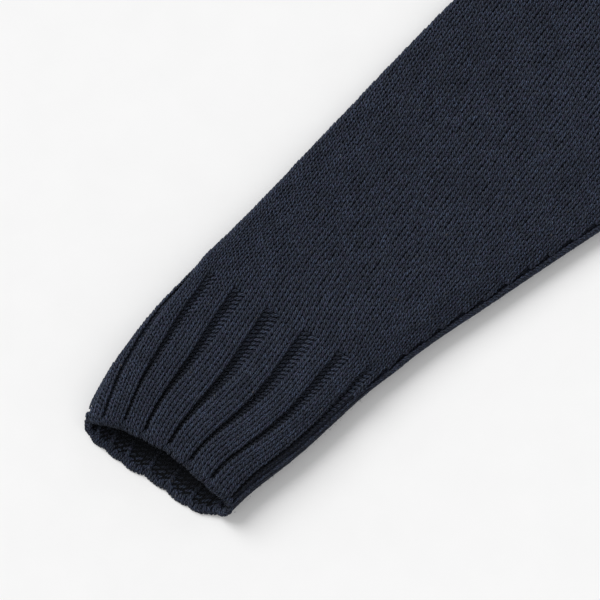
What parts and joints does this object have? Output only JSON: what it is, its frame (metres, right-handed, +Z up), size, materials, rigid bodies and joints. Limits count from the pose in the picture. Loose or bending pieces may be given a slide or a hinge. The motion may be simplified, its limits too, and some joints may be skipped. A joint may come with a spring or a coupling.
{
  "type": "wool sweater",
  "caption": "Crew-neck wool sweater laid flat, front up: plain knit body and sleeves with wide ribbed cuffs, hem and neckband.",
  "frame": {"origin": "middle of the sweater's box on the floor that it lies on", "axes": "+Z up out of the floor, +Y from the hem to the neck, +X to the right of a viewer who faces the front"},
  "size_m": [1.4398, 0.7168, 0.0213],
  "materials": {
    "navy_wool": "thick plain knit in dark navy melange wool, matt, with a slight nap"
  },
  "bodies": {
    "root": {"front": "navy_wool", "back": "navy_wool", "sleeve_left": "navy_wool", "sleeve_right": "navy_wool", "neckband": "navy_wool"}
  },
  "joints": []
}
